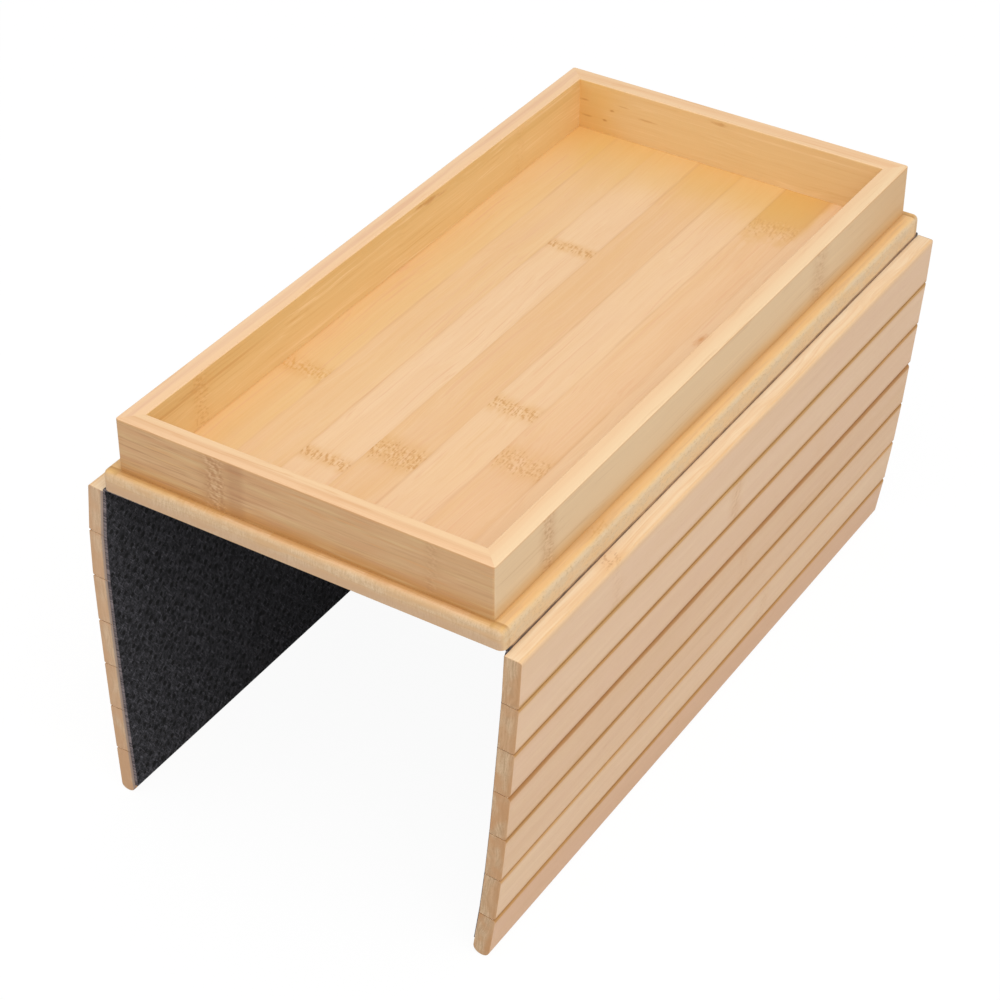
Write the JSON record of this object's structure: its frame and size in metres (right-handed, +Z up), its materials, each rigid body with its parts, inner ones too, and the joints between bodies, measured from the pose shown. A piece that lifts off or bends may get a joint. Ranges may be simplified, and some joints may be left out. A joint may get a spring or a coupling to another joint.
{
  "type": "sofa arm tray",
  "caption": "Shallow rectangular bamboo tray on a board with a slatted, felt-hinged flap down each long side, for laying over a sofa arm.",
  "frame": {"origin": "centre of the felt face under the board, which rests on top of the sofa arm", "axes": "+Z up, +Y along the sofa arm and along the tray's long side, +X across the arm towards the flap called right; stored with both flaps hanging as pictured"},
  "size_m": [0.179, 0.307, 0.1715],
  "materials": {
    "bamboo_board": "natural bamboo, satin lacquer, flat grain with nodes",
    "bamboo_rail": "natural bamboo, satin lacquer, edge grain",
    "bamboo_slat": "natural bamboo, satin lacquer, one strip to a slat",
    "felt": "charcoal felt with rows of small dimples"
  },
  "bodies": {
    "tray": {"base_board": "bamboo_board", "front_rail": "bamboo_rail", "right_rail": "bamboo_rail", "back_rail": "bamboo_rail", "left_rail": "bamboo_rail", "felt_base": "felt"},
    "right_flap_1": {"right_slat_1": "bamboo_slat", "right_felt_1": "felt"},
    "right_flap_2": {"right_slat_2": "bamboo_slat", "right_felt_2": "felt"},
    "right_flap_3": {"right_slat_3": "bamboo_slat", "right_felt_3": "felt"},
    "right_flap_4": {"right_slat_4": "bamboo_slat", "right_felt_4": "felt"},
    "right_flap_5": {"right_slat_5": "bamboo_slat", "right_felt_5": "felt"},
    "right_flap_6": {"right_slat_6": "bamboo_slat", "right_felt_6": "felt"},
    "right_flap_7": {"right_slat_7": "bamboo_slat", "right_felt_7": "felt"},
    "left_flap_1": {"left_slat_1": "bamboo_slat", "left_felt_1": "felt"},
    "left_flap_2": {"left_slat_2": "bamboo_slat", "left_felt_2": "felt"},
    "left_flap_3": {"left_slat_3": "bamboo_slat", "left_felt_3": "felt"},
    "left_flap_4": {"left_slat_4": "bamboo_slat", "left_felt_4": "felt"},
    "left_flap_5": {"left_slat_5": "bamboo_slat", "left_felt_5": "felt"},
    "left_flap_6": {"left_slat_6": "bamboo_slat", "left_felt_6": "felt"},
    "left_flap_7": {"left_slat_7": "bamboo_slat", "left_felt_7": "felt"}
  },
  "joints": [
    {"name": "right_flap_hinge", "type": "hinge", "parent": "tray", "child": "right_flap_1", "pos_m": [0.0811, 0, 0.00065], "axis": [0, -1, 0], "range_deg": [-57.3, 92.7]},
    {"name": "right_slat_hinge_2", "type": "hinge", "parent": "right_flap_1", "child": "right_flap_2", "pos_m": [0.08013, 0, -0.01993], "axis": [0, 1, 0], "range_deg": [-1.5, 43.5]},
    {"name": "right_slat_hinge_3", "type": "hinge", "parent": "right_flap_2", "child": "right_flap_3", "pos_m": [0.07866, 0, -0.03997], "axis": [0, 1, 0], "range_deg": [-0.2, 44.8]},
    {"name": "right_slat_hinge_4", "type": "hinge", "parent": "right_flap_3", "child": "right_flap_4", "pos_m": [0.07712, 0, -0.06001], "axis": [0, 1, 0], "range_deg": [0, 45]},
    {"name": "right_slat_hinge_5", "type": "hinge", "parent": "right_flap_4", "child": "right_flap_5", "pos_m": [0.07557, 0, -0.08005], "axis": [0, 1, 0], "range_deg": [-1, 44]},
    {"name": "right_slat_hinge_6", "type": "hinge", "parent": "right_flap_5", "child": "right_flap_6", "pos_m": [0.07368, 0, -0.10007], "axis": [0, 1, 0], "range_deg": [-1.2, 43.8]},
    {"name": "right_slat_hinge_7", "type": "hinge", "parent": "right_flap_6", "child": "right_flap_7", "pos_m": [0.07137, 0, -0.12003], "axis": [0, 1, 0], "range_deg": [-1.7, 43.3]},
    {"name": "left_flap_hinge", "type": "hinge", "parent": "tray", "child": "left_flap_1", "pos_m": [-0.0811, 0, 0.00065], "axis": [0, -1, 0], "range_deg": [-84.9, 65.1]},
    {"name": "left_slat_hinge_2", "type": "hinge", "parent": "left_flap_1", "child": "left_flap_2", "pos_m": [-0.08293, 0, -0.01987], "axis": [0, 1, 0], "range_deg": [-41.4, 3.6]},
    {"name": "left_slat_hinge_3", "type": "hinge", "parent": "left_flap_2", "child": "left_flap_3", "pos_m": [-0.08346, 0, -0.03996], "axis": [0, 1, 0], "range_deg": [-42.6, 2.4]},
    {"name": "left_slat_hinge_4", "type": "hinge", "parent": "left_flap_3", "child": "left_flap_4", "pos_m": [-0.08314, 0, -0.06006], "axis": [0, 1, 0], "range_deg": [-44.5, 0.5]},
    {"name": "left_slat_hinge_5", "type": "hinge", "parent": "left_flap_4", "child": "left_flap_5", "pos_m": [-0.08265, 0, -0.08015], "axis": [0, 1, 0], "range_deg": [-44.7, 0.3]},
    {"name": "left_slat_hinge_6", "type": "hinge", "parent": "left_flap_5", "child": "left_flap_6", "pos_m": [-0.08205, 0, -0.10024], "axis": [0, 1, 0], "range_deg": [-44.4, 0.6]},
    {"name": "left_slat_hinge_7", "type": "hinge", "parent": "left_flap_6", "child": "left_flap_7", "pos_m": [-0.08125, 0, -0.12033], "axis": [0, 1, 0], "range_deg": [-44.9, 0.1]}
  ]
}
